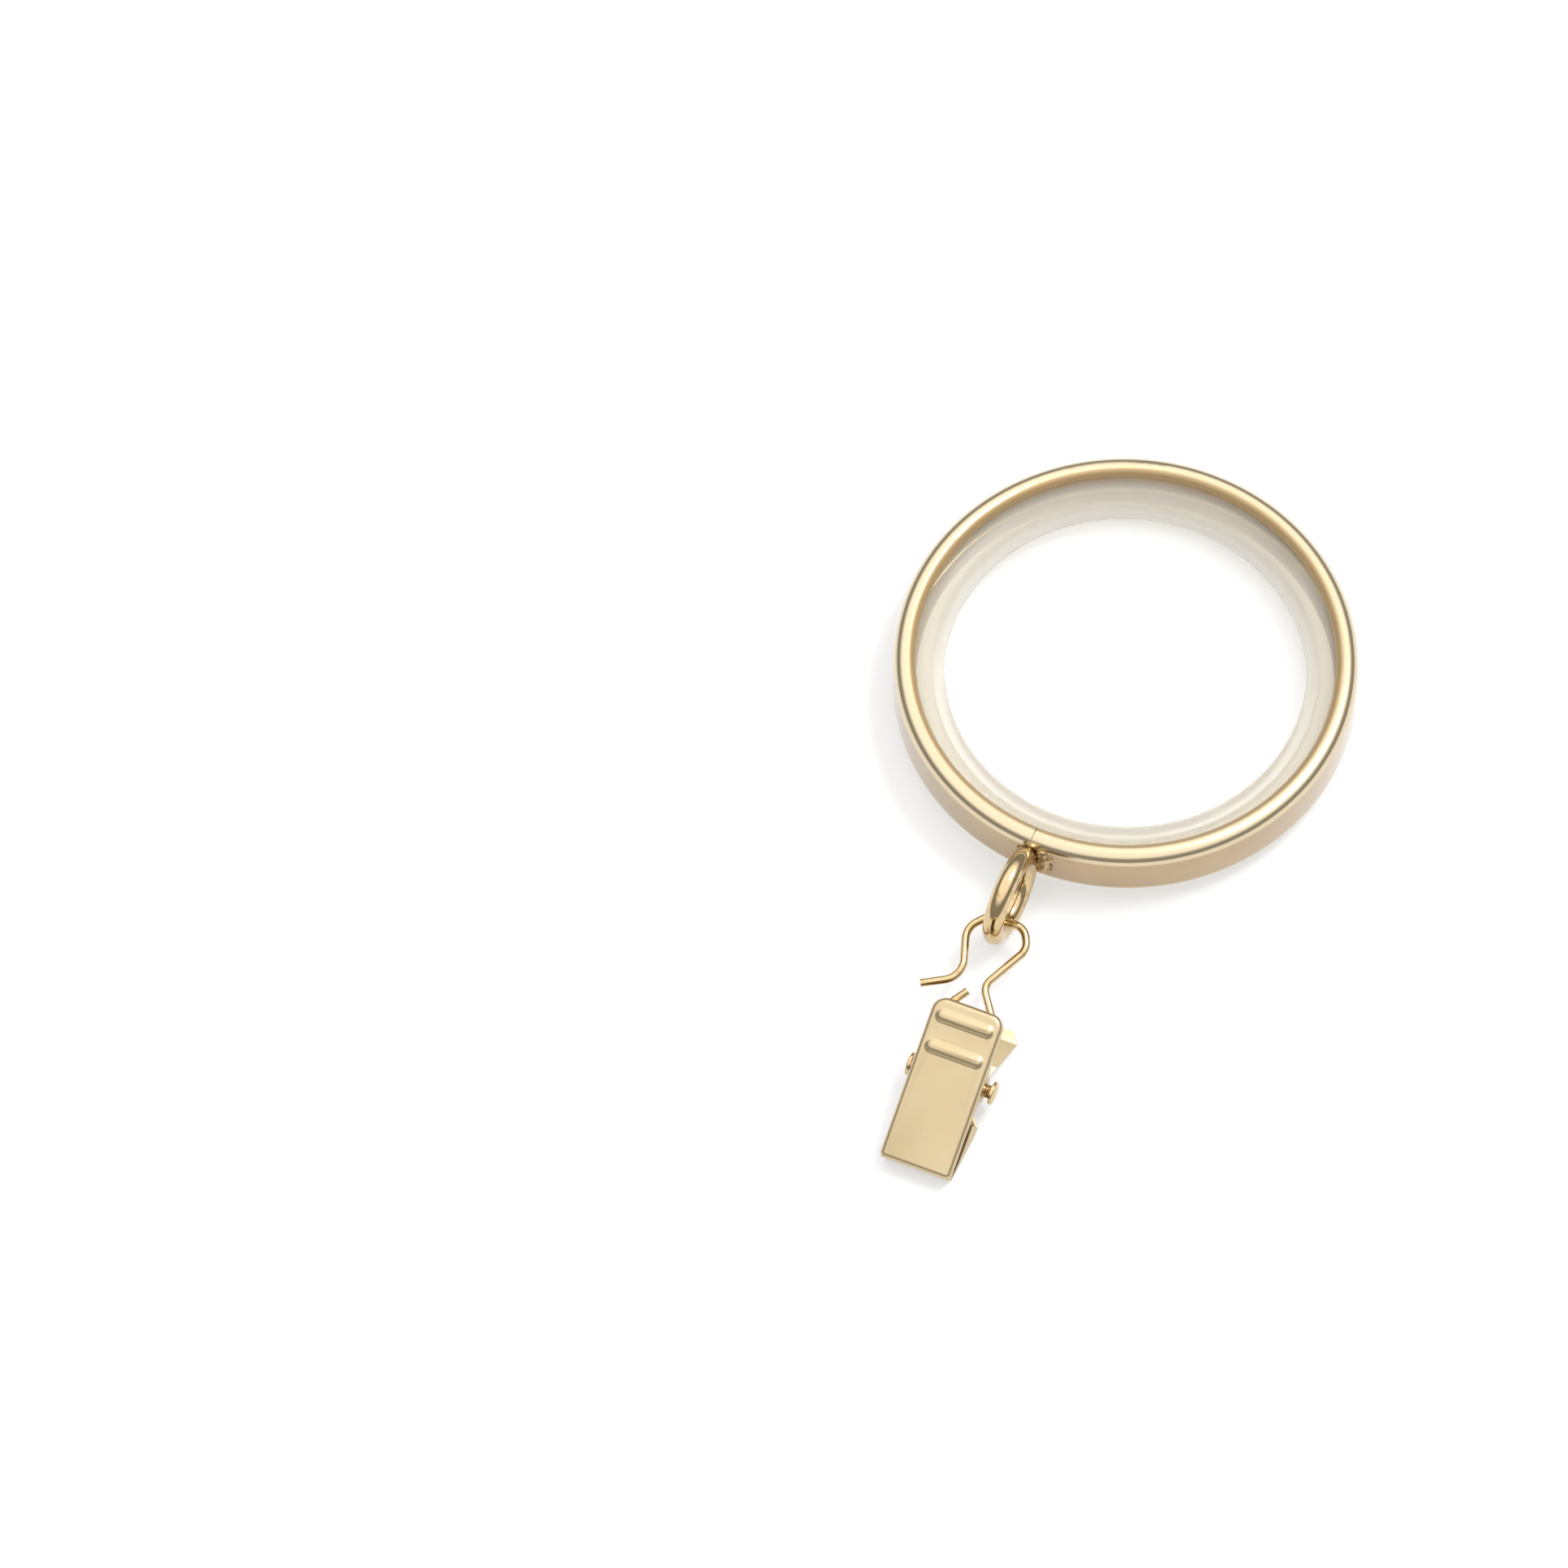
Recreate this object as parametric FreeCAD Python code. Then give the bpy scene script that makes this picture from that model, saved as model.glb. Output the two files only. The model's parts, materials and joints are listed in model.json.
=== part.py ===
import FreeCAD, Part
import math
import os

# Curtain ring with clip, in millimetres, lying on its side.
# The origin is the centre of the rod bore, +Z is the ring's axis and the clip lies towards -Y.

# Ring band: a rolled steel channel with its lips turned in.
RING_OUTER_DIA = 60.0
BAND_HEIGHT = 8.5
BAND_WALL = 0.8
BAND_EDGE_RADIUS = 1.6
LIP_FLAT = 0.1
LIP_ROLL = 1.2
SEAM_GAP = 0.14

# Nylon liner: an arched strip whose feet sit behind the lips.
LINER_DEPTH = 6.6
LINER_LAND = 2.4
LINER_WALL = 1.5
LINER_FOOT = 1.1
LINER_PLAY = 0.05

# Eyelet: a closed wire ring welded across the band's seam.
# Each weld bead has its side of the wire, its place along the wall and its radius.
EYELET_WIRE_DIA = 2.7
EYELET_INNER_DIA = 8.0
EYELET_SINK = 0.9
EYELET_DROP = 0.5
EYELET_JOINT_GAP = 0.08
EYELET_JOINT_ANGLE = 32.0
WELD_BEADS = (
    (-1, -1.6, 0.8), (-1, -0.3, 0.95), (-1, 1.1, 0.85),
    (1, -1.2, 0.9), (1, 0.2, 0.8), (1, 1.3, 0.7),
)

# Spring hook: one wire, wound on the pin as the closing spring and carried on as the hook.
# Each corner of the loop has its place across and along the clip and its bend radius.
HOOK_WIRE_DIA = 1.07
HOOK_PLAY = 0.15
HOOK_HANG_ANGLE = 35.0
HOOK_LOOP = (
    (1.95, 8.2, 3.0), (-1.15, 12.3, 1.9), (2.35, 18.6, 2.2), (0.9, 21.0, 2.0),
    (-3.9, 21.0, 2.2), (-6.15, 18.6, 2.6), (-4.1, 12.5, 2.8), (-8.9, 9.95, 0.0),
)
HOOK_TOP_X = -2.3
STUB_TIP = (-1.35, 11.3)
STUB_BEND = (-2.85, 9.3)
WIRE_BEND_RADIUS = 1.2
LEAD_BEND_RADIUS = 6.0
COIL_TURNS = 4
COIL_PLAY = 0.12
LEG_SEAT = 0.03
STUB_ANGLE = 9.0
LEAD_LENGTH = 1.2

# Clip: its attitude, then the pressed sheet parts measured from the pin's axis.
CLIP_YAW = 2.7
SHEET = 0.5
FACE_WIDTH = 9.7
FACE_TOP = 9.65
FACE_TIP = 12.3
FACE_STANDOFF = 4.8
FACE_CORNER_RADIUS = 1.9
FACE_EDGE_RADIUS = 0.72
FACE_RIM = 1.1
RIB_LENGTH = 7.9
RIB_WIDTH = 1.75
RIB_HEIGHT = 0.37
RIB_BLEND = 0.5
RIB_PLACES = (7.3, 3.2)
TIP_LIP = 1.75
TOOTH_COUNT = 6
TOOTH_DEPTH = 0.45
JAW_GAP = 0.12
EAR_RADIUS = 1.75
EAR_BASE = 4.6
EAR_TANGENT = 18.0
EAR_GAP = 0.08
FLANGE_INSET = 0.3
FLANGE_FROM = -6.0
FLANGE_TO = 7.2
REAR_EAR_SHIFT = 0.6
REAR_TIP_RISE = 1.9
REAR_WIDTH = 10.3
REAR_SHOULDER = 3.6
REAR_SHOULDER_RUN = 1.2
REAR_TIP_TAPER = 0.55
TAB_BEND = 3.0
TAB_ANGLE = 43.0
TAB_LENGTH = 5.0
TAB_LIP = 1.5
TAB_LIP_ANGLE = 22.0
TAB_ROOT_WIDTH = 8.8
TAB_WIDTH = 10.7
TAB_END_WIDTH = 8.0
REAR_CORNER_RADIUS = 0.45
SHEET_BEND_RADIUS = 0.8

# Pivot pin: a rivet with a grooved neck under each head.
PIN_DIA = 1.84
PIN_PLAY = 0.03
PIN_NECK = 0.95
PIN_HEAD_DIA = 3.1
PIN_HEAD = 0.65
PIN_HEAD_RIM = 0.26
PIN_GROOVE = 0.12
PIN_GROOVE_WIDTH = 0.16
PIN_GROOVE_PLACES = (0.16, 0.48)

V = FreeCAD.Vector
ORIGIN = V(0, 0, 0)
X_AXIS = V(1, 0, 0)
Z_AXIS = V(0, 0, 1)
QUARTER_ARC = 0.5523
NEAR = 1e-4

ring_radius = RING_OUTER_DIA / 2
half_height = BAND_HEIGHT / 2
lip_radius = ring_radius - BAND_EDGE_RADIUS - LIP_FLAT - LIP_ROLL
eyelet_tube = EYELET_WIRE_DIA / 2
eyelet_inner = EYELET_INNER_DIA / 2
eyelet_ring = eyelet_inner + eyelet_tube
eyelet_y = -(ring_radius - EYELET_SINK + eyelet_inner + EYELET_WIRE_DIA)
wire = HOOK_WIRE_DIA / 2
pin_radius = PIN_DIA / 2
coil_radius = pin_radius + COIL_PLAY + wire
coil_outside = coil_radius + wire + COIL_PLAY
front_ear_outer = FACE_WIDTH / 2 - FLANGE_INSET
front_ear_inner = front_ear_outer - SHEET
rear_ear_outer = front_ear_inner - EAR_GAP
rear_ear_inner = rear_ear_outer - SHEET
coil_width = 2 * (rear_ear_inner - COIL_PLAY - wire)
rib_radius = (RIB_WIDTH ** 2 / 4 + RIB_HEIGHT ** 2) / (2 * RIB_HEIGHT)
face_inside = FACE_STANDOFF - SHEET
hang = math.radians(HOOK_HANG_ANGLE)
hang_reach = eyelet_inner - wire - HOOK_PLAY
hang_point = V(0, eyelet_y - hang_reach * math.cos(hang), -EYELET_DROP - hang_reach * math.sin(hang))


def table_slope():
    """Slope along Y of the flat surface that the band's far edge and the eyelet both rest on."""
    run = ring_radius - BAND_EDGE_RADIUS - eyelet_y
    rise = BAND_EDGE_RADIUS - half_height + EYELET_DROP
    lift = BAND_EDGE_RADIUS - eyelet_inner - EYELET_WIRE_DIA
    return math.atan2(rise, run) - math.asin(lift / math.hypot(rise, run))


def rear_line():
    """The upper face of the rear jaw in the side view, from tip to tab end, clear of the coil."""
    tip = V(0, -FACE_TIP + SHEET / 2, REAR_TIP_RISE)
    slope = math.asin(coil_outside / math.hypot(tip.y, tip.z)) + math.atan2(tip.z, -tip.y)
    bend = V(0, TAB_BEND, tip.z - (TAB_BEND - tip.y) * math.tan(slope))
    tab = math.radians(TAB_ANGLE)
    end_lip = math.radians(TAB_LIP_ANGLE)
    tab_end = bend + V(0, math.cos(tab), -math.sin(tab)) * TAB_LENGTH
    return [tip, bend, tab_end, tab_end + V(0, math.cos(end_lip), -math.sin(end_lip)) * TAB_LIP]


def sheet_underside(points):
    """The lower face of a bent sheet whose upper face follows points in the side view."""
    under = []
    for before, here, after in zip([None] + points, points, points[1:] + [None]):
        ahead = (after - here).normalize() if after else (here - before).normalize()
        back = (here - before).normalize() if before else ahead
        along = (ahead + back).normalize()
        under.append(here + V(0, along.z, -along.y) * (SHEET / ahead.dot(along)))
    return under


# The leg bears on the rear jaw where the tab bends away; the stub bears on the face's top rim.
rear_top = rear_line()
rear_under = sheet_underside(rear_top)
tab_bend = rear_top[1]
seat_ratio = (coil_radius + wire + LEG_SEAT) / math.hypot(tab_bend.y, tab_bend.z)
leg_angle = math.acos(seat_ratio) - math.atan2(tab_bend.y, -tab_bend.z)
stub_angle = math.radians(STUB_ANGLE)
stub_z = FACE_STANDOFF - FACE_RIM - wire - COIL_PLAY

# The clip lies on its tip and its tab, on the same surface as the ring.
slope = table_slope()
rest_line = rear_under[2] - rear_under[0]
clip_pitch = math.degrees(slope - math.atan2(rest_line.z, rest_line.y))
clip_turn = FreeCAD.Rotation(Z_AXIS, CLIP_YAW) * FreeCAD.Rotation(X_AXIS, clip_pitch)
table_normal = V(0, -math.sin(slope), math.cos(slope))
table_level = table_normal.dot(V(0, eyelet_y, -EYELET_DROP)) - eyelet_inner - EYELET_WIRE_DIA
normal_on_clip = clip_turn.inverted().multVec(table_normal)

# The hook's loop leans from the leg's end to the place where it hangs in the eyelet.
leg_end_y = HOOK_LOOP[0][1]
leg_end_z = -coil_radius / math.cos(leg_angle) - math.tan(leg_angle) * leg_end_y
loop_top_y = HOOK_LOOP[3][1]
loop_height = table_normal.dot(hang_point) - table_level + normal_on_clip.dot(rear_under[0])
loop_height -= normal_on_clip.x * HOOK_TOP_X + normal_on_clip.y * loop_top_y
loop_top = V(HOOK_TOP_X, loop_top_y, loop_height / normal_on_clip.z)
loop_lean = (loop_top.z - leg_end_z) / (loop_top.y - leg_end_y)
clip_place = FreeCAD.Placement(hang_point - clip_turn.multVec(loop_top), clip_turn)


def profile_face(edges):
    return Part.Face(Part.Wire(edges))


def outline_face(points):
    return Part.Face(Part.makePolygon(list(points) + [points[0]]))


def line(a, b):
    return Part.LineSegment(a, b).toShape()


def arc(a, mid, b):
    return Part.Arc(a, mid, b).toShape()


def corner_arc(centre, radius, start_deg):
    """A quarter circle in the XZ plane, anticlockwise from start_deg."""
    at = [math.radians(start_deg + step) for step in (0, 45, 90)]
    return arc(*[centre + V(radius * math.cos(t), 0, radius * math.sin(t)) for t in at])


def soft_corner(a, corner, b):
    """A quarter ellipse from a to b whose tangents meet in corner."""
    curve = Part.BezierCurve()
    curve.setPoles([a, a + (corner - a) * QUARTER_ARC, b + (corner - b) * QUARTER_ARC, b])
    return curve.toShape()


def flip(edge):
    return edge.mirror(ORIGIN, Z_AXIS)


def box(low, high):
    size = high - low
    return Part.makeBox(size.x, size.y, size.z, low)


def both_sides(shape):
    return shape.fuse(shape.mirror(ORIGIN, X_AXIS))


def revolve_half_profile(half):
    """Turn a profile, given by its upper half from inside to outside, about the ring's axis."""
    edges = Part.__sortEdges__(half + [flip(edge) for edge in half])
    return profile_face(edges).revolve(ORIGIN, Z_AXIS, 360)


def ring_band():
    t, r, h = BAND_WALL, BAND_EDGE_RADIUS, half_height
    inner = ring_radius - t
    bend = V(ring_radius - r, 0, h - r)
    roll = V(lip_radius + LIP_ROLL, 0, h - LIP_ROLL)
    half = [
        line(V(inner, 0, 0), V(inner, 0, h - r)),
        corner_arc(bend, r - t, 0),
        line(V(bend.x, 0, h - t), V(roll.x, 0, h - t)),
        corner_arc(roll, LIP_ROLL - t, 90),
        line(V(lip_radius + t, 0, roll.z), V(lip_radius, 0, roll.z)),
        corner_arc(roll, LIP_ROLL, 90),
        line(V(roll.x, 0, h), V(bend.x, 0, h)),
        corner_arc(bend, r, 0),
        line(V(ring_radius, 0, h - r), V(ring_radius, 0, 0)),
    ]
    band = revolve_half_profile(half)
    seam = box(V(-SEAM_GAP / 2, -2 * ring_radius, -h), V(SEAM_GAP / 2, 0, h))
    return band.cut(seam)


def ring_liner():
    bore = ring_radius - LINER_DEPTH
    land = LINER_LAND / 2
    back = ring_radius - BAND_WALL - LINER_PLAY
    top = half_height - LIP_ROLL - LINER_PLAY
    under = top - LINER_FOOT
    hollow = bore + LINER_WALL
    hollow_land = land * under / top
    corner = BAND_EDGE_RADIUS - LIP_ROLL - LINER_PLAY
    bend = V(back - corner, 0, top - corner)
    half = [
        line(V(bore, 0, 0), V(bore, 0, land)),
        soft_corner(V(bore, 0, land), V(bore, 0, top), V(lip_radius, 0, top)),
        line(V(lip_radius, 0, top), V(bend.x, 0, top)),
        corner_arc(bend, corner, 0),
        line(V(back, 0, bend.z), V(back, 0, under)),
        line(V(back, 0, under), V(lip_radius, 0, under)),
        soft_corner(V(lip_radius, 0, under), V(hollow, 0, under), V(hollow, 0, hollow_land)),
        line(V(hollow, 0, hollow_land), V(hollow, 0, 0)),
    ]
    return revolve_half_profile(half)


def eyelet_ring_solid():
    centre = V(0, eyelet_y, -EYELET_DROP)
    return Part.makeTorus(eyelet_ring, eyelet_tube, centre, X_AXIS)


def outside_band():
    return Part.makeCylinder(ring_radius, 2 * RING_OUTER_DIA, V(0, 0, -RING_OUTER_DIA))


def eyelet():
    centre = V(0, eyelet_y, -EYELET_DROP)
    gap = EYELET_JOINT_GAP / 2
    reach = eyelet_ring + EYELET_WIRE_DIA
    joint = box(V(-EYELET_WIRE_DIA, 0, -gap), V(EYELET_WIRE_DIA, reach, gap))
    joint.rotate(ORIGIN, X_AXIS, EYELET_JOINT_ANGLE)
    joint.translate(centre)
    return eyelet_ring_solid().cut(outside_band()).cut(joint)


def eyelet_weld():
    beads = []
    for side, along, radius in WELD_BEADS:
        place = V(side * eyelet_tube, -ring_radius, -EYELET_DROP + along)
        beads.append(Part.makeSphere(radius, place))
    return beads[0].multiFuse(beads[1:]).cut(outside_band()).cut(eyelet_ring_solid())


def rounded_run(points, radii):
    """Straight runs through points, with a tangent arc of the given radius at each inner point."""
    edges = []
    start = points[0]
    for before, here, after, radius in zip(points, points[1:], points[2:], radii):
        back = (before - here).normalize()
        ahead = (after - here).normalize()
        half_turn = (math.pi - back.getAngle(ahead)) / 2
        cut = radius * math.tan(half_turn)
        middle = here + (back + ahead).normalize() * (radius / math.cos(half_turn) - radius)
        edges.append(line(start, here + back * cut))
        edges.append(arc(here + back * cut, middle, here + ahead * cut))
        start = here + ahead * cut
    edges.append(line(start, points[-1]))
    return edges


def on_coil(turn, x, pitch):
    """A point of the coil's centre line and the wire's direction there."""
    place = V(x, coil_radius * math.cos(turn), coil_radius * math.sin(turn))
    along = V(pitch / (2 * math.pi), -coil_radius * math.sin(turn), coil_radius * math.cos(turn))
    return place, along.normalize()


def spring_hook():
    enter = math.pi / 2 + stub_angle
    leave = 3 * math.pi / 2 - leg_angle + 2 * math.pi * COIL_TURNS
    pitch = coil_width / (leave - enter) * 2 * math.pi
    coil = Part.makeHelix(pitch, coil_width, coil_radius)
    coil.Placement = FreeCAD.Placement(
        V(-coil_width / 2, 0, 0),
        FreeCAD.Rotation(X_AXIS, math.degrees(enter)) * FreeCAD.Rotation(V(1, 1, 1), 120),
    )
    first, first_way = on_coil(enter, -coil_width / 2, pitch)
    last, last_way = on_coil(leave, coil_width / 2, pitch)
    stub = [V(*STUB_TIP, stub_z), V(*STUB_BEND, stub_z), first - first_way * LEAD_LENGTH, first]
    loop = [last, last + last_way * LEAD_LENGTH]
    loop += [V(x, y, leg_end_z + loop_lean * (y - leg_end_y)) for x, y, radius in HOOK_LOOP]
    loop_radii = [LEAD_BEND_RADIUS] + [radius for x, y, radius in HOOK_LOOP]
    edges = rounded_run(stub, [WIRE_BEND_RADIUS, LEAD_BEND_RADIUS])
    edges += coil.Edges + rounded_run(loop, loop_radii)
    section = Part.Wire(Part.makeCircle(wire, stub[0], stub[1] - stub[0]))
    return Part.Wire(edges).makePipeShell([section], True, False)


def bent_sheet(upper, under, width):
    """A strip of sheet between its two faces in the side view, with rounded bends."""
    strip = outline_face(upper + under[::-1])
    strip.translate(V(-width / 2, 0, 0))
    strip = strip.extrude(V(width, 0, 0))
    for corner in upper[1:-1] + under[1:-1]:
        bend = [edge for edge in strip.Edges if (edge.CenterOfMass - corner).Length < SHEET / 10]
        strip = strip.makeFillet(SHEET_BEND_RADIUS, bend)
    return strip


def ear(inner, base_z, base_from, base_to):
    """A cheek of sheet from its foot at base_z to a round end about the pin."""
    lug = Part.makeCylinder(EAR_RADIUS, SHEET, V(inner, 0, 0), X_AXIS)
    tangent = math.radians(EAR_TANGENT)
    side_y = EAR_RADIUS * math.cos(tangent)
    side_z = math.copysign(EAR_RADIUS * math.sin(tangent), base_z)
    foot = [
        V(inner, base_from, base_z),
        V(inner, base_to, base_z),
        V(inner, side_y, side_z),
        V(inner, -side_y, side_z),
    ]
    return lug.fuse(outline_face(foot).extrude(V(SHEET, 0, 0)))


def pin_hole():
    return Part.makeCylinder(pin_radius + PIN_PLAY, 2 * FACE_WIDTH, V(-FACE_WIDTH, 0, 0), X_AXIS)


def upright_edges(solid):
    return [edge for edge in solid.Edges if edge.BoundBox.XLength + edge.BoundBox.YLength < NEAR]


def pan(inset):
    """A pressed pan, open below, with rounded corners; inset gives its inner surface."""
    low = V(-FACE_WIDTH / 2 + inset, -FACE_TIP + inset, FACE_STANDOFF - FACE_RIM - inset)
    high = V(FACE_WIDTH / 2 - inset, FACE_TOP - inset, FACE_STANDOFF - inset)
    solid = box(low, high)
    top_corners = [edge for edge in upright_edges(solid) if edge.CenterOfMass.y > 0]
    solid = solid.makeFillet(FACE_CORNER_RADIUS - inset, top_corners)
    low_corners = [edge for edge in upright_edges(solid) if edge.CenterOfMass.y < low.y + NEAR]
    solid = solid.makeFillet(FACE_EDGE_RADIUS - inset, low_corners)
    rim = [edge for edge in solid.Edges if abs(edge.CenterOfMass.z - high.z) < NEAR]
    return solid.makeFillet(FACE_EDGE_RADIUS - inset, rim)


def rib(radius, y):
    half = (RIB_LENGTH - RIB_WIDTH) / 2
    low = V(-half, y, FACE_STANDOFF + RIB_HEIGHT - rib_radius)
    ends = [Part.makeSphere(radius, low + V(2 * half * end, 0, 0)) for end in (0, 1)]
    return Part.makeCylinder(radius, 2 * half, low, X_AXIS).multiFuse(ends)


def ribbed_skin():
    """The pan's outer form with its ribs, each blended into the flat of the face."""
    skin = pan(0).multiFuse([rib(rib_radius, y) for y in RIB_PLACES]).removeSplitter()
    foot = []
    for edge in skin.Edges:
        bounds = edge.BoundBox
        on_face = abs(bounds.ZMin - FACE_STANDOFF) < NEAR
        aside = min(abs(bounds.Center.y - y) for y in RIB_PLACES)
        if on_face and aside < RIB_WIDTH and bounds.YLength < RIB_WIDTH:
            foot.append(edge)
    return skin.makeFillet(RIB_BLEND, foot)


def tooth_row(crest_z, up):
    """The notches that leave a row of teeth along a tip lip whose crest is at crest_z."""
    pitch = (REAR_WIDTH - 2 * SHEET) / TOOTH_COUNT
    notches = []
    for count in range(TOOTH_COUNT):
        middle = (count - (TOOTH_COUNT - 1) / 2) * pitch
        notch = outline_face([
            V(middle - TOOTH_DEPTH, -2 * FACE_TIP, crest_z),
            V(middle + TOOTH_DEPTH, -2 * FACE_TIP, crest_z),
            V(middle, -2 * FACE_TIP, crest_z - up * TOOTH_DEPTH),
        ])
        notches.append(notch.extrude(V(0, 2 * FACE_TIP, 0)))
    return Part.makeCompound(notches)


def front_jaw():
    hollow = pan(SHEET).multiFuse([rib(rib_radius - SHEET, y) for y in RIB_PLACES])
    under = box(V(-FACE_WIDTH, -2 * FACE_TIP, -FACE_WIDTH),
                V(FACE_WIDTH, 2 * FACE_TOP, FACE_STANDOFF - FACE_RIM))
    jaw = ribbed_skin().cut(hollow).cut(under)
    lip_z = FACE_STANDOFF - TIP_LIP
    lip_half = REAR_WIDTH / 2 - REAR_TIP_TAPER
    lip_root = FACE_STANDOFF - FACE_EDGE_RADIUS
    lip = box(V(-lip_half, -FACE_TIP, lip_z), V(lip_half, -FACE_TIP + SHEET, lip_root))
    lip = lip.cut(tooth_row(lip_z, -1))
    cheek = ear(front_ear_inner, face_inside, FLANGE_FROM, FLANGE_TO)
    return jaw.fuse(lip).fuse(both_sides(cheek)).cut(pin_hole()).removeSplitter()


def rear_jaw():
    strip = bent_sheet(rear_top, rear_under, 2 * TAB_WIDTH)
    tip_y = rear_top[0].y - SHEET
    end_y = rear_top[3].y + SHEET
    half = REAR_WIDTH / 2
    shoulder_y = -REAR_SHOULDER - REAR_SHOULDER_RUN
    right = [
        V(half - REAR_TIP_TAPER, tip_y, 0), V(half, -FACE_TIP / 2, 0),
        V(half, shoulder_y, 0), V(rear_ear_outer, -REAR_SHOULDER, 0),
        V(rear_ear_outer, TAB_BEND - REAR_SHOULDER_RUN, 0), V(TAB_ROOT_WIDTH / 2, TAB_BEND, 0),
        V(TAB_WIDTH / 2, rear_top[2].y, 0), V(TAB_END_WIDTH / 2, end_y, 0),
    ]
    left = [V(-p.x, p.y, 0) for p in reversed(right)]
    outline = outline_face(right + left)
    outline.translate(V(0, 0, -2 * FACE_WIDTH))
    cutter = outline.extrude(V(0, 0, 4 * FACE_WIDTH))
    wall = box(V(half - SHEET, tip_y, rear_top[3].z), V(half, shoulder_y, REAR_TIP_RISE))
    below = outline_face(rear_under + [V(0, end_y, -2 * FACE_WIDTH), V(0, tip_y, -2 * FACE_WIDTH)])
    below = below.extrude(V(FACE_WIDTH, 0, 0))
    blank = strip.fuse(both_sides(wall.cut(below)))
    blank = blank.common(cutter.makeFillet(REAR_CORNER_RADIUS, upright_edges(cutter)))
    lip_top = FACE_STANDOFF - TIP_LIP - JAW_GAP
    lip_half = half - REAR_TIP_TAPER
    lip = box(V(-lip_half, -FACE_TIP, rear_under[0].z), V(lip_half, -FACE_TIP + SHEET, lip_top))
    lip = lip.cut(tooth_row(lip_top, 1))
    foot_from = -REAR_EAR_SHIFT - EAR_BASE / 2
    cheek = ear(rear_ear_inner, -coil_outside - SHEET, foot_from, foot_from + EAR_BASE)
    cheek = cheek.cut(below)
    return blank.fuse(lip).fuse(both_sides(cheek)).cut(pin_hole()).removeSplitter()


def pivot_pin():
    neck_end = front_ear_outer + PIN_NECK
    head = PIN_HEAD_DIA / 2
    outline = [V(0, 0, 0), V(0, pin_radius, 0), V(front_ear_outer, pin_radius, 0)]
    for place in PIN_GROOVE_PLACES:
        start = V(front_ear_outer + place, pin_radius, 0)
        deep = V(PIN_GROOVE_WIDTH / 2, -PIN_GROOVE, 0)
        outline += [start, start + deep, start + V(PIN_GROOVE_WIDTH, 0, 0)]
    outline += [V(neck_end, pin_radius, 0), V(neck_end, head, 0)]
    rim = V(neck_end + PIN_HEAD_RIM, head, 0)
    crown = V(neck_end + PIN_HEAD, 0, 0)
    edges = Part.makePolygon(outline + [rim]).Edges
    edges.append(soft_corner(rim, V(crown.x, rim.y, 0), crown))
    edges.append(line(crown, outline[0]))
    half = profile_face(edges).revolve(ORIGIN, X_AXIS, 360)
    return both_sides(half).removeSplitter()


def on_clip(shape):
    shape.Placement = clip_place.multiply(shape.Placement)
    return shape


nodes = {
    "ring_band": ring_band(),
    "ring_liner": ring_liner(),
    "eyelet": eyelet(),
    "eyelet_weld": eyelet_weld(),
    "spring_hook": on_clip(spring_hook()),
    "front_jaw": on_clip(front_jaw()),
    "rear_jaw": on_clip(rear_jaw()),
    "pivot_pin": on_clip(pivot_pin()),
}

os.makedirs("parts", exist_ok=True)
for name, shape in nodes.items():
    print(name, len(shape.Solids), shape.isValid(), round(shape.Volume, 2))
    shape.exportStep(f"parts/{name}.step")
print("pin at", [round(v, 4) for v in clip_place.Base])
print("hook hangs at", [round(v, 4) for v in hang_point])
print("clip pitch", round(clip_pitch, 3), "table slope", round(math.degrees(slope), 3))
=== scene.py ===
import json
import math

import bpy
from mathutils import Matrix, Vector

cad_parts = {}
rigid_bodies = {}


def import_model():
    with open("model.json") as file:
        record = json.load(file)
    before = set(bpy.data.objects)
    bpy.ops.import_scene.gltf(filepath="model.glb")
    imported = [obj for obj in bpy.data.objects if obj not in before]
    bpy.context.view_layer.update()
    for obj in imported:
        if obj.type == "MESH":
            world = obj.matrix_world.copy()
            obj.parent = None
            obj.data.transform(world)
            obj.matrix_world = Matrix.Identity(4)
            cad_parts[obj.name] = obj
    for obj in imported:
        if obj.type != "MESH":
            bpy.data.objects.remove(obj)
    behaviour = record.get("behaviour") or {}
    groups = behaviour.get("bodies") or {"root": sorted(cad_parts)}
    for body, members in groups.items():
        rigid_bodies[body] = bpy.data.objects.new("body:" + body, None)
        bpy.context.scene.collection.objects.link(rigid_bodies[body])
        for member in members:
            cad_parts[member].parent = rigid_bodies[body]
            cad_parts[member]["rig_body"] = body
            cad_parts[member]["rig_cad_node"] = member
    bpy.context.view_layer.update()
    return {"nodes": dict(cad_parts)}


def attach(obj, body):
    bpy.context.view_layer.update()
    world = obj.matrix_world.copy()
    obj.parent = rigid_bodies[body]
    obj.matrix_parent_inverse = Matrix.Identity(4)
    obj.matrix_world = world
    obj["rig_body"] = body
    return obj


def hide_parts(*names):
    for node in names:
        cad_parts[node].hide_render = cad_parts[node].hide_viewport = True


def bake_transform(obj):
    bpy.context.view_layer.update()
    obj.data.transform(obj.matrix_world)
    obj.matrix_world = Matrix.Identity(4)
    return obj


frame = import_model()
nodes = frame["nodes"]
mm = 0.001  # values named Mm are in millimetres, other lengths in metres
print("frame loaded:", ", ".join(sorted(nodes)))


def linear(hexCode):
    # sRGB hex to the linear colour that shader sockets take
    shares = [int(hexCode[i:i + 2], 16) / 255 for i in (1, 3, 5)]
    return tuple(c / 12.92 if c <= 0.04045 else ((c + 0.055) / 1.055) ** 2.4 for c in shares) + (1.0,)


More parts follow.
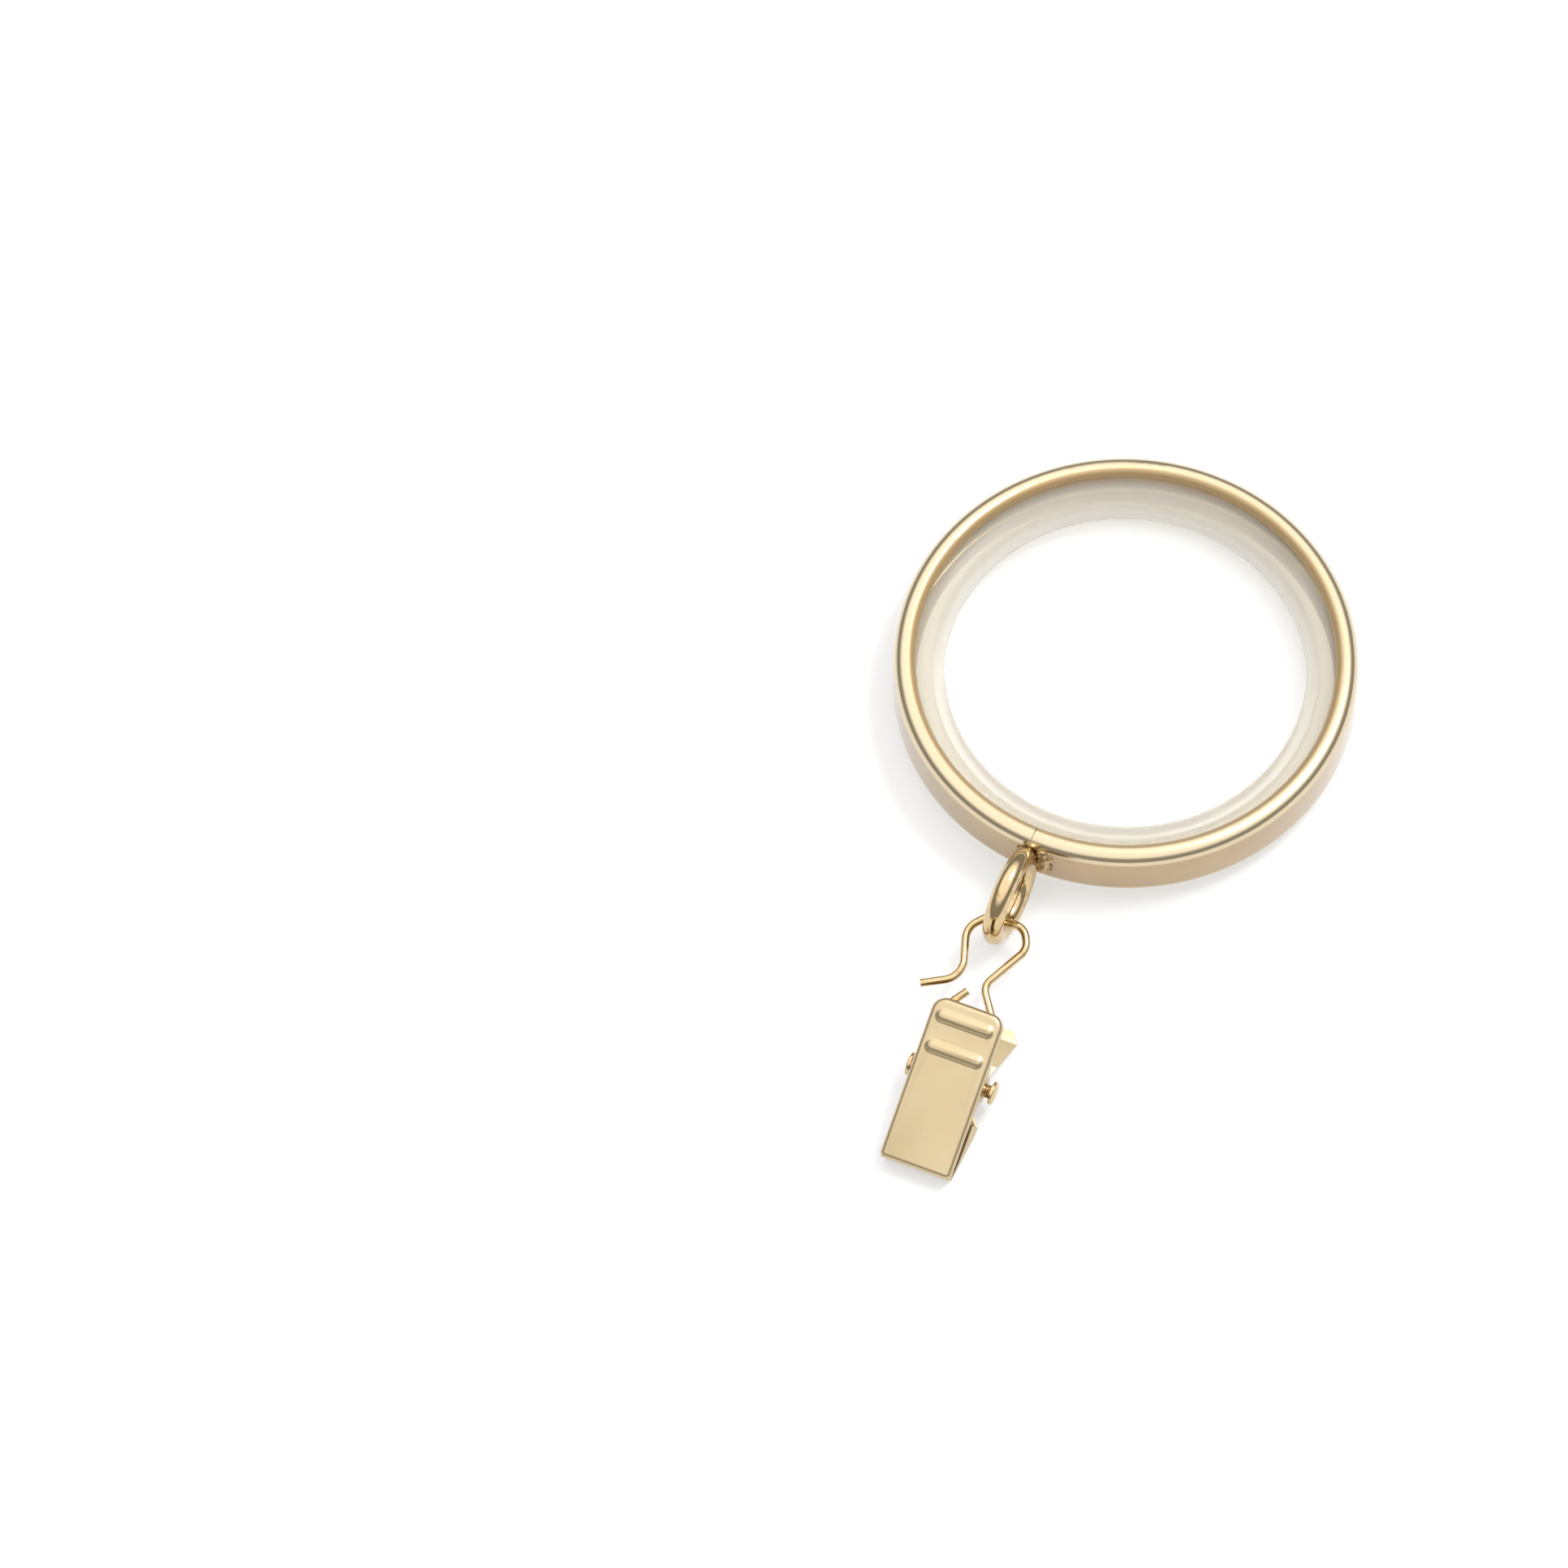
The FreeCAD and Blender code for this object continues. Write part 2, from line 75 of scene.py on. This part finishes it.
def addNode(tree, kind, settings=None, links=None):
    # settings go to a socket of that name or number, or else to the node itself
    node = tree.nodes.new(kind)
    for key, value in (settings or {}).items():
        if isinstance(key, str) and hasattr(node, key):
            setattr(node, key, value)
    for key, value in (settings or {}).items():
        if not (isinstance(key, str) and hasattr(node, key)):
            node.inputs[key].default_value = value
    for key, source in (links or {}).items():
        tree.links.new(source, node.inputs[key])
    return node


def newMaterial(name):
    material = bpy.data.materials.new(name)
    material.use_nodes = True
    material.node_tree.nodes.clear()
    return material, material.node_tree


def perMetre(sizeMm):
    # a noise of scale 1 has features about one unit wide
    return 1.0 / (sizeMm * mm)


def dress(obj, material):
    obj.data.materials.clear()
    obj.data.materials.append(material)


# brass-plated steel band under clear lacquer: tumbled to a fine satin before plating, so the wall glints
# in small grains, drawn a little coarse so that they show, and pales where it is seen edge-on; the lips are
# painted paler than the wall, a painted highlight brightest on the crest, with painted shade on the slope
# inside it, and the channel's plating is painted brighter and yellower, as painted light for the light that
# the nylon lets in
bandFinish = {
    "light": "#AD9164", "dark": "#A78A5D", "slope": "#BEA478", "crestHighlight": "#D0BF9D", "inside": "#EBC985",
    "cloudMm": 6.0, "cloudDetail": 3.0, "cloudFrom": 0.35, "cloudTo": 0.65,
    "grainMm": 0.2, "grainDetail": 2.0, "grainDepthMm": 0.02, "grainFresh": 0.5, "grainRubbed": 0.12,
    "edgeFromMm": 2.6, "edgeToMm": 3.1, "crestFromMm": 27.6, "crestToMm": 28.5,
    "insideFromMm": 29.45, "insideToMm": 29.3,
    "wallRough": 0.27, "insideRough": 0.35, "slopeRough": 0.7, "edgeRough": 0.2,
    "lacquer": 1.0, "lacquerRough": 0.12,
}


def platedBandSatin():
    f = bandFinish
    material, tree = newMaterial("platedBandSatin")
    place = addNode(tree, "ShaderNodeTexCoord").outputs["Object"]
    # where on the band: distance from the ring's axis, and height off its middle plane
    flat = addNode(tree, "ShaderNodeVectorMath", {"operation": "MULTIPLY", 1: (1, 1, 0)}, {0: place})
    radius = addNode(tree, "ShaderNodeVectorMath", {"operation": "LENGTH"}, {0: flat.outputs["Vector"]})
    apart = addNode(tree, "ShaderNodeSeparateXYZ", links={"Vector": place})
    height = addNode(tree, "ShaderNodeMath", {"operation": "ABSOLUTE"}, {0: apart.outputs["Z"]})
    within = addNode(tree, "ShaderNodeMapRange",
                     {"From Min": f["insideFromMm"] * mm, "From Max": f["insideToMm"] * mm},
                     {"Value": radius.outputs["Value"]})
    onLip = addNode(tree, "ShaderNodeMapRange",
                    {"interpolation_type": "SMOOTHSTEP", "From Min": f["edgeFromMm"] * mm,
                     "From Max": f["edgeToMm"] * mm}, {"Value": height.outputs["Value"]})
    onCrest = addNode(tree, "ShaderNodeMapRange",
                      {"interpolation_type": "SMOOTHSTEP", "From Min": f["crestFromMm"] * mm,
                       "From Max": f["crestToMm"] * mm}, {"Value": radius.outputs["Value"]})
    # colour of the wall, of the channel behind it and of the lips
    cloud = addNode(tree, "ShaderNodeTexNoise",
                    {"Scale": perMetre(f["cloudMm"]), "Detail": f["cloudDetail"]}, {"Vector": place})
    tone = addNode(tree, "ShaderNodeMapRange", {"From Min": f["cloudFrom"], "From Max": f["cloudTo"]},
                   {"Value": cloud.outputs["Fac"]})
    wall = addNode(tree, "ShaderNodeMix", {"data_type": "RGBA", 6: linear(f["dark"]), 7: linear(f["light"])},
                   {0: tone.outputs["Result"]})
    # the channel's brass plating is painted brighter and yellower than the wall, as painted light for the
    # light that the nylon lets in
    onWall = addNode(tree, "ShaderNodeMix", {"data_type": "RGBA", 7: linear(f["inside"])},
                     {0: within.outputs["Result"], 6: wall.outputs[2]})
    # the lips: a painted highlight on the crest and painted shade on the slope inside it
    lipHighlightAndShade = addNode(tree, "ShaderNodeMix", {"data_type": "RGBA", 6: linear(f["slope"]), 7: linear(f["crestHighlight"])},
                  {0: onCrest.outputs["Result"]})
    colour = addNode(tree, "ShaderNodeMix", {"data_type": "RGBA"},
                     {0: onLip.outputs["Result"], 6: onWall.outputs[2], 7: lipHighlightAndShade.outputs[2]})
    # roughness of the same places
    wallRough = addNode(tree, "ShaderNodeMapRange", {"To Min": f["wallRough"], "To Max": f["insideRough"]},
                        {"Value": within.outputs["Result"]})
    lipRough = addNode(tree, "ShaderNodeMapRange", {"To Min": f["slopeRough"], "To Max": f["edgeRough"]},
                       {"Value": onCrest.outputs["Result"]})
    rough = addNode(tree, "ShaderNodeMix", {"data_type": "FLOAT"},
                    {0: onLip.outputs["Result"], 2: wallRough.outputs["Result"],
                     3: lipRough.outputs["Result"]})
    # the grain, worn down on the crest
    grain = addNode(tree, "ShaderNodeTexNoise",
                    {"Scale": perMetre(f["grainMm"]), "Detail": f["grainDetail"]}, {"Vector": place})
    worn = addNode(tree, "ShaderNodeMath", {"operation": "MULTIPLY"},
                   {0: onLip.outputs["Result"], 1: onCrest.outputs["Result"]})
    depth = addNode(tree, "ShaderNodeMapRange", {"To Min": f["grainFresh"], "To Max": f["grainRubbed"]},
                    {"Value": worn.outputs["Value"]})
    bump = addNode(tree, "ShaderNodeBump", {"Distance": f["grainDepthMm"] * mm},
                   {"Height": grain.outputs["Fac"], "Strength": depth.outputs["Result"]})
    shader = addNode(tree, "ShaderNodeBsdfPrincipled",
                     {"Metallic": 1.0, "Coat Weight": f["lacquer"], "Coat Roughness": f["lacquerRough"]},
                     {"Base Color": colour.outputs[2], "Roughness": rough.outputs[0],
                      "Normal": bump.outputs["Normal"]})
    addNode(tree, "ShaderNodeOutputMaterial", links={"Surface": shader.outputs["BSDF"]})
    return material


# bright-plated spring and eyelet wire: drawn smooth, so it mirrors the room, with a few dull spots
wireFinish = {
    "light": "#CFB78D", "dark": "#B79A6C", "spotMm": 0.9, "spotDetail": 4.0, "spotFrom": 0.54, "spotTo": 0.72,
    "rough": 0.11, "dullRough": 0.22,
}


def platedWireBright():
    f = wireFinish
    material, tree = newMaterial("platedWireBright")
    place = addNode(tree, "ShaderNodeTexCoord").outputs["Object"]
    spots = addNode(tree, "ShaderNodeTexNoise",
                    {"Scale": perMetre(f["spotMm"]), "Detail": f["spotDetail"]}, {"Vector": place})
    share = addNode(tree, "ShaderNodeMapRange", {"From Min": f["spotFrom"], "From Max": f["spotTo"]},
                    {"Value": spots.outputs["Fac"]})
    colour = addNode(tree, "ShaderNodeMix",
                     {"data_type": "RGBA", 6: linear(f["light"]), 7: linear(f["dark"])},
                     {0: share.outputs["Result"]})
    rough = addNode(tree, "ShaderNodeMapRange", {"To Min": f["rough"], "To Max": f["dullRough"]},
                    {"Value": share.outputs["Result"]})
    shader = addNode(tree, "ShaderNodeBsdfPrincipled", {"Metallic": 1.0},
                     {"Base Color": colour.outputs[2], "Roughness": rough.outputs["Result"]})
    addNode(tree, "ShaderNodeOutputMaterial", links={"Surface": shader.outputs["BSDF"]})
    return material


# pressed clip plates: satin-plated, smooth and almost even, with a soft cloudiness
# and a grain drawn as coarse as it needs to show
clipFinish = {
    "light": "#C8B591", "dark": "#C5B18C", "cloudMm": 5.0, "cloudDetail": 3.0, "cloudFrom": 0.35,
    "cloudTo": 0.65, "grainMm": 0.12, "grainDetail": 2.0, "grainDepthMm": 0.003, "grain": 0.3, "rough": 0.32,
}


def platedClipSatin():
    f = clipFinish
    material, tree = newMaterial("platedClipSatin")
    place = addNode(tree, "ShaderNodeTexCoord").outputs["Object"]
    cloud = addNode(tree, "ShaderNodeTexNoise",
                    {"Scale": perMetre(f["cloudMm"]), "Detail": f["cloudDetail"]}, {"Vector": place})
    tone = addNode(tree, "ShaderNodeMapRange", {"From Min": f["cloudFrom"], "From Max": f["cloudTo"]},
                   {"Value": cloud.outputs["Fac"]})
    colour = addNode(tree, "ShaderNodeMix",
                     {"data_type": "RGBA", 6: linear(f["dark"]), 7: linear(f["light"])},
                     {0: tone.outputs["Result"]})
    grain = addNode(tree, "ShaderNodeTexNoise",
                    {"Scale": perMetre(f["grainMm"]), "Detail": f["grainDetail"]}, {"Vector": place})
    bump = addNode(tree, "ShaderNodeBump", {"Distance": f["grainDepthMm"] * mm, "Strength": f["grain"]},
                   {"Height": grain.outputs["Fac"]})
    shader = addNode(tree, "ShaderNodeBsdfPrincipled", {"Metallic": 1.0, "Roughness": f["rough"]},
                     {"Base Color": colour.outputs[2], "Normal": bump.outputs["Normal"]})
    addNode(tree, "ShaderNodeOutputMaterial", links={"Surface": shader.outputs["BSDF"]})
    return material


# moulded natural nylon: milky with a dull skin, thickest at the middle of the arch, and so thin beside it
# that the brass or the table behind it shines through
linerFinish = {
    "milk": "#F8F5EF", "tint": "#FCFAF4", "rough": 0.32, "ior": 1.53,
    "scatter": 0.8, "scatterMm": 2.5, "scatterColours": (1.0, 0.97, 0.92),
    "throughThick": 0.25, "throughThin": 0.86, "thickToMm": 0.2, "thinFromMm": 2.4,
    "cloudMm": 7.0, "cloudDetail": 2.0, "wanderMm": 0.15,
}


def nylonMilky():
    f = linerFinish
    material, tree = newMaterial("nylonMilky")
    place = addNode(tree, "ShaderNodeTexCoord").outputs["Object"]
    # the thick middle wanders a little to each side
    cloud = addNode(tree, "ShaderNodeTexNoise",
                    {"Scale": perMetre(f["cloudMm"]), "Detail": f["cloudDetail"]}, {"Vector": place})
    wander = addNode(tree, "ShaderNodeMapRange",
                     {"To Min": -f["wanderMm"] * mm, "To Max": f["wanderMm"] * mm},
                     {"Value": cloud.outputs["Fac"]})
    apart = addNode(tree, "ShaderNodeSeparateXYZ", links={"Vector": place})
    offMiddle = addNode(tree, "ShaderNodeMath", {"operation": "ABSOLUTE"}, {0: apart.outputs["Z"]})
    height = addNode(tree, "ShaderNodeMath", {"operation": "ADD"},
                     {0: offMiddle.outputs["Value"], 1: wander.outputs["Result"]})
    through = addNode(tree, "ShaderNodeMapRange",
                      {"interpolation_type": "SMOOTHSTEP", "From Min": f["thickToMm"] * mm,
                       "From Max": f["thinFromMm"] * mm, "To Min": f["throughThick"],
                       "To Max": f["throughThin"]}, {"Value": height.outputs["Value"]})
    shader = addNode(tree, "ShaderNodeBsdfPrincipled",
                     {"Base Color": linear(f["milk"]), "Roughness": f["rough"], "IOR": f["ior"],
                      "Subsurface Weight": f["scatter"], "Subsurface Radius": f["scatterColours"],
                      "Subsurface Scale": f["scatterMm"] * mm})
    clear = addNode(tree, "ShaderNodeBsdfTransparent", {"Color": linear(f["tint"])})
    mixed = addNode(tree, "ShaderNodeMixShader",
                    links={0: through.outputs["Result"], 1: shader.outputs["BSDF"], 2: clear.outputs["BSDF"]})
    addNode(tree, "ShaderNodeOutputMaterial", links={"Surface": mixed.outputs["Shader"]})
    return material


# resistance weld: the plating covers it, but it stays lumpy and brown where it was burnt
weldFinish = {
    "light": "#CDB288", "burnt": "#8A734E", "spotMm": 0.7, "spotDetail": 4.0, "spotFrom": 0.4, "spotTo": 0.62,
    "rough": 0.42, "lumpMm": 0.35, "lumpDetail": 3.0, "lumpDepthMm": 0.06, "lump": 0.6,
}


def weldBurnt():
    f = weldFinish
    material, tree = newMaterial("weldBurnt")
    place = addNode(tree, "ShaderNodeTexCoord").outputs["Object"]
    spots = addNode(tree, "ShaderNodeTexNoise",
                    {"Scale": perMetre(f["spotMm"]), "Detail": f["spotDetail"]}, {"Vector": place})
    share = addNode(tree, "ShaderNodeMapRange", {"From Min": f["spotFrom"], "From Max": f["spotTo"]},
                    {"Value": spots.outputs["Fac"]})
    colour = addNode(tree, "ShaderNodeMix",
                     {"data_type": "RGBA", 6: linear(f["light"]), 7: linear(f["burnt"])},
                     {0: share.outputs["Result"]})
    lumps = addNode(tree, "ShaderNodeTexNoise",
                    {"Scale": perMetre(f["lumpMm"]), "Detail": f["lumpDetail"]}, {"Vector": place})
    bump = addNode(tree, "ShaderNodeBump", {"Distance": f["lumpDepthMm"] * mm, "Strength": f["lump"]},
                   {"Height": lumps.outputs["Fac"]})
    shader = addNode(tree, "ShaderNodeBsdfPrincipled", {"Metallic": 1.0, "Roughness": f["rough"]},
                     {"Base Color": colour.outputs[2], "Normal": bump.outputs["Normal"]})
    addNode(tree, "ShaderNodeOutputMaterial", links={"Surface": shader.outputs["BSDF"]})
    return material


bandSatin = platedBandSatin()
wireBright = platedWireBright()
clipSatin = platedClipSatin()
nylon = nylonMilky()
weldMetal = weldBurnt()
finishes = {
    "ring_band": bandSatin, "ring_liner": nylon, "eyelet": wireBright, "eyelet_weld": weldMetal,
    "spring_hook": wireBright, "front_jaw": clipSatin, "rear_jaw": clipSatin, "pivot_pin": wireBright,
}
# round faces shade smooth up to the crease angle, and the edges of the sheet metal are broken
smoothing = {
    "weldMm": 0.001, "creaseDeg": 34, "sheet": ("front_jaw", "rear_jaw"), "edgeMm": 0.09, "edgeSteps": 2,
}
creaseAngle = math.radians(smoothing["creaseDeg"])
for name, material in finishes.items():
    node = nodes[name]
    dress(node, material)
    node.data.polygons.foreach_set("use_smooth", [True] * len(node.data.polygons))
    weld = node.modifiers.new("joinFacets", "WELD")
    weld.merge_threshold = smoothing["weldMm"] * mm
    if name in smoothing["sheet"]:
        edges = node.modifiers.new("breakEdges", "BEVEL")
        edges.width = smoothing["edgeMm"] * mm
        edges.segments = smoothing["edgeSteps"]
        edges.limit_method = "ANGLE"
        edges.angle_limit = creaseAngle
    crease = node.modifiers.new("keepCreases", "EDGE_SPLIT")
    crease.split_angle = creaseAngle
print("finishes set on", len(finishes), "pieces")


# the weld beads at the eyelet's foot, lumpy where the wire was burnt on to the wall (x, z, radius in mm)
weldBead = {
    "wallMm": 30.0, "flat": 0.62, "roundSteps": 3, "voxelMm": 0.09, "lumpMm": 0.5, "lumpDepthMm": 0.16,
    "softenTimes": 2,
    "lumps": [(1.75, 2.2, 0.85), (2.0, 0.9, 1.0), (1.8, -0.5, 0.9), (1.9, -1.7, 0.75), (2.75, 1.5, 0.5),
              (2.7, -0.2, 0.55), (-1.2, 1.5, 0.6), (-1.3, 0.3, 0.65), (-1.3, -1.0, 0.6), (-1.2, -2.0, 0.5)],
    "spatter": [(3.3, 0.6, 0.16), (3.05, -1.1, 0.2), (2.6, -2.3, 0.18)],
}


def weldAtFoot():
    w = weldBead
    bpy.ops.object.select_all(action="DESELECT")
    made = []
    for x, z, radius in w["lumps"] + w["spatter"]:
        y = -math.sqrt(w["wallMm"] ** 2 - x ** 2)
        bpy.ops.mesh.primitive_ico_sphere_add(subdivisions=w["roundSteps"], radius=radius * mm,
                                              location=(x * mm, y * mm, z * mm), scale=(1, w["flat"], 1))
        made.append(bpy.context.active_object)
    for lump in made:
        lump.select_set(True)
    bpy.ops.object.join()
    bead = bpy.context.active_object
    bead.name = "weldBead"
    bpy.ops.object.transform_apply(location=True, rotation=True, scale=True)
    skin = bead.modifiers.new("runTogether", "REMESH")
    skin.mode = "VOXEL"
    skin.voxel_size = w["voxelMm"] * mm
    clouds = bpy.data.textures.new("weldLumps", "CLOUDS")
    clouds.noise_scale = w["lumpMm"] * mm
    lumps = bead.modifiers.new("lumps", "DISPLACE")
    lumps.texture = clouds
    lumps.texture_coords = "LOCAL"
    lumps.strength = w["lumpDepthMm"] * mm
    soften = bead.modifiers.new("soften", "SMOOTH")
    soften.iterations = w["softenTimes"]
    for modifier in list(bead.modifiers):
        bpy.ops.object.modifier_apply(modifier=modifier.name)
    bpy.ops.object.shade_smooth()
    dress(bead, weldMetal)
    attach(bead, "ring")
    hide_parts("eyelet_weld")
    return bead


print("weld bead:", len(weldAtFoot().data.polygons), "faces")


# the spring wire's short leg goes with the front jaw, so the coil winds up between the two jaws; here the
# wire is only a smoothed copy of the CAD wire; along up from the pin, a winding wire would stay still as
# far as stillMm and turn fully from turnsMm on
springWire = {
    "joint": "jaw_open", "up": (0.022, -0.464, 0.886), "stillMm": -0.6, "turnsMm": 1.9, "mergeMm": 0.001,
}


def windingWire():
    w = springWire
    bpy.ops.object.select_all(action="DESELECT")
    nodes["spring_hook"].select_set(True)
    bpy.context.view_layer.objects.active = nodes["spring_hook"]
    bpy.ops.object.duplicate()
    wire = bpy.context.active_object
    wire.name = "springWire"
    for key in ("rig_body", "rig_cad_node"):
        del wire[key]  # the copy is a piece of its own
    wire.parent = None
    wire.modifiers.clear()
    bpy.ops.object.mode_set(mode="EDIT")
    bpy.ops.mesh.select_all(action="SELECT")
    bpy.ops.mesh.remove_doubles(threshold=w["mergeMm"] * mm)
    bpy.ops.object.mode_set(mode="OBJECT")
    bpy.ops.mesh.customdata_custom_splitnormals_clear()
    bpy.ops.object.shade_smooth_by_angle(angle=creaseAngle)
    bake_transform(wire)
    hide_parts("spring_hook")
    return wire


print("spring wire:", len(windingWire().data.polygons), "faces")


# the table: painted board, matt, even and white because it glows a little wherever it is seen or mirrored,
# tilted to the plane that the ring's far edge and the eyelet lie on
table = {
    "slopeDeg": 2.636, "levelMm": -5.6, "size": 3.0, "colour": "#C4C4C4", "shine": "#FFFFFF", "glow": 0.42,
}


def paintedBoardWhite():
    material, tree = newMaterial("paintedBoardWhite")
    rays = addNode(tree, "ShaderNodeLightPath")
    faced = addNode(tree, "ShaderNodeMath", {"operation": "MAXIMUM"},
                    {0: rays.outputs["Is Camera Ray"], 1: rays.outputs["Is Glossy Ray"]})
    seen = addNode(tree, "ShaderNodeMath", {"operation": "MAXIMUM"},
                   {0: faced.outputs["Value"], 1: rays.outputs["Is Transmission Ray"]})
    glow = addNode(tree, "ShaderNodeMath", {"operation": "MULTIPLY", 1: table["glow"]},
                   {0: seen.outputs["Value"]})
    lit = addNode(tree, "ShaderNodeBsdfDiffuse", {"Color": linear(table["colour"])})
    shine = addNode(tree, "ShaderNodeEmission", {"Color": linear(table["shine"])},
                    {"Strength": glow.outputs["Value"]})
    both = addNode(tree, "ShaderNodeAddShader",
                   links={0: lit.outputs["BSDF"], 1: shine.outputs["Emission"]})
    addNode(tree, "ShaderNodeOutputMaterial", links={"Surface": both.outputs["Shader"]})
    return material


slope = math.radians(table["slopeDeg"])
normal = Vector((0, -math.sin(slope), math.cos(slope)))
bpy.ops.object.select_all(action="DESELECT")
bpy.ops.mesh.primitive_plane_add(size=table["size"], location=normal * table["levelMm"] * mm,
                                 rotation=(slope, 0, 0))
floor = bpy.context.active_object
floor.name = "tableTop"
dress(floor, paintedBoardWhite())
print("table laid")


# light tent: bright roof, dim sides down to the table, and one soft lamp at the back right
tent = {
    "colour": "#FFFFFF", "roofBack": 1.75, "roofNear": 1.5, "roofReach": 0.6, "roofFrom": 0.8,
    "side": 0.36, "sideTo": 0.44, "towardsBack": (-0.42, 0.91, 0), "backdrop": 1.0,
}
lamp = {"watts": 4.8, "size": 0.36, "place": (0.3, 0.3, 0.92)}


def lightTent():
    world = bpy.data.worlds.new("lightTent")
    world.use_nodes = True
    tree = world.node_tree
    tree.nodes.clear()
    place = addNode(tree, "ShaderNodeTexCoord").outputs["Generated"]
    apart = addNode(tree, "ShaderNodeSeparateXYZ", links={"Vector": place})
    backward = addNode(tree, "ShaderNodeVectorMath",
                       {"operation": "DOT_PRODUCT", 1: tent["towardsBack"]}, {0: place})
    roof = addNode(tree, "ShaderNodeMapRange",
                   {"From Min": -tent["roofReach"], "From Max": tent["roofReach"],
                    "To Min": tent["roofNear"], "To Max": tent["roofBack"]},
                   {"Value": backward.outputs["Value"]})
    level = addNode(tree, "ShaderNodeMapRange",
                    {"interpolation_type": "SMOOTHSTEP", "From Min": tent["sideTo"],
                     "From Max": tent["roofFrom"], "To Min": tent["side"]},
                    {"Value": apart.outputs["Z"], "To Max": roof.outputs["Result"]})
    rays = addNode(tree, "ShaderNodeLightPath")
    strength = addNode(tree, "ShaderNodeMix", {"data_type": "FLOAT", 3: tent["backdrop"]},
                       {0: rays.outputs["Is Camera Ray"], 2: level.outputs["Result"]})
    glow = addNode(tree, "ShaderNodeBackground", {"Color": linear(tent["colour"])},
                   {"Strength": strength.outputs[0]})
    addNode(tree, "ShaderNodeOutputWorld", links={"Surface": glow.outputs["Background"]})
    return world


bpy.context.scene.world = lightTent()
light = bpy.data.lights.new("softLamp", "AREA")
light.energy = lamp["watts"]
light.size = lamp["size"]
lightObject = bpy.data.objects.new("softLamp", light)
bpy.context.scene.collection.objects.link(lightObject)
lightObject.location = lamp["place"]
lightObject.rotation_mode = "QUATERNION"
lightObject.rotation_quaternion = (-Vector(lamp["place"])).to_track_quat("-Z", "Y")
print("lights set")


# camera at the photograph's angle; the ring's centre lies right of and above the middle of the picture
shot = {
    "azimuthDeg": 24.9, "elevationDeg": 61.7, "lens": 400.0, "reach": 20, "imagePx": 1932, "pxPerMm": 9.54,
    "ringAtPx": (1386.6, 828.0),
}
azimuth = math.radians(shot["azimuthDeg"])
elevation = math.radians(shot["elevationDeg"])
right = Vector((math.cos(azimuth), math.sin(azimuth), 0))
back = Vector((math.sin(azimuth) * math.cos(elevation), -math.cos(azimuth) * math.cos(elevation),
               math.sin(elevation)))
up = back.cross(right)
camera = bpy.data.cameras.new("camera")
camera.lens = shot["lens"]
camera.clip_end = shot["reach"]
cameraObject = bpy.data.objects.new("camera", camera)
bpy.context.scene.collection.objects.link(cameraObject)
middle = shot["imagePx"] / 2
aim = -right * (shot["ringAtPx"][0] - middle) - up * (middle - shot["ringAtPx"][1])
distance = camera.lens / camera.sensor_width * shot["imagePx"] / shot["pxPerMm"] * mm
cameraObject.location = aim / shot["pxPerMm"] * mm + back * distance
cameraObject.rotation_mode = "QUATERNION"
cameraObject.rotation_quaternion = (-back).to_track_quat("-Z", "Y")
bpy.context.scene.camera = cameraObject
bpy.context.scene.view_settings.view_transform = "Standard"
print("camera set")
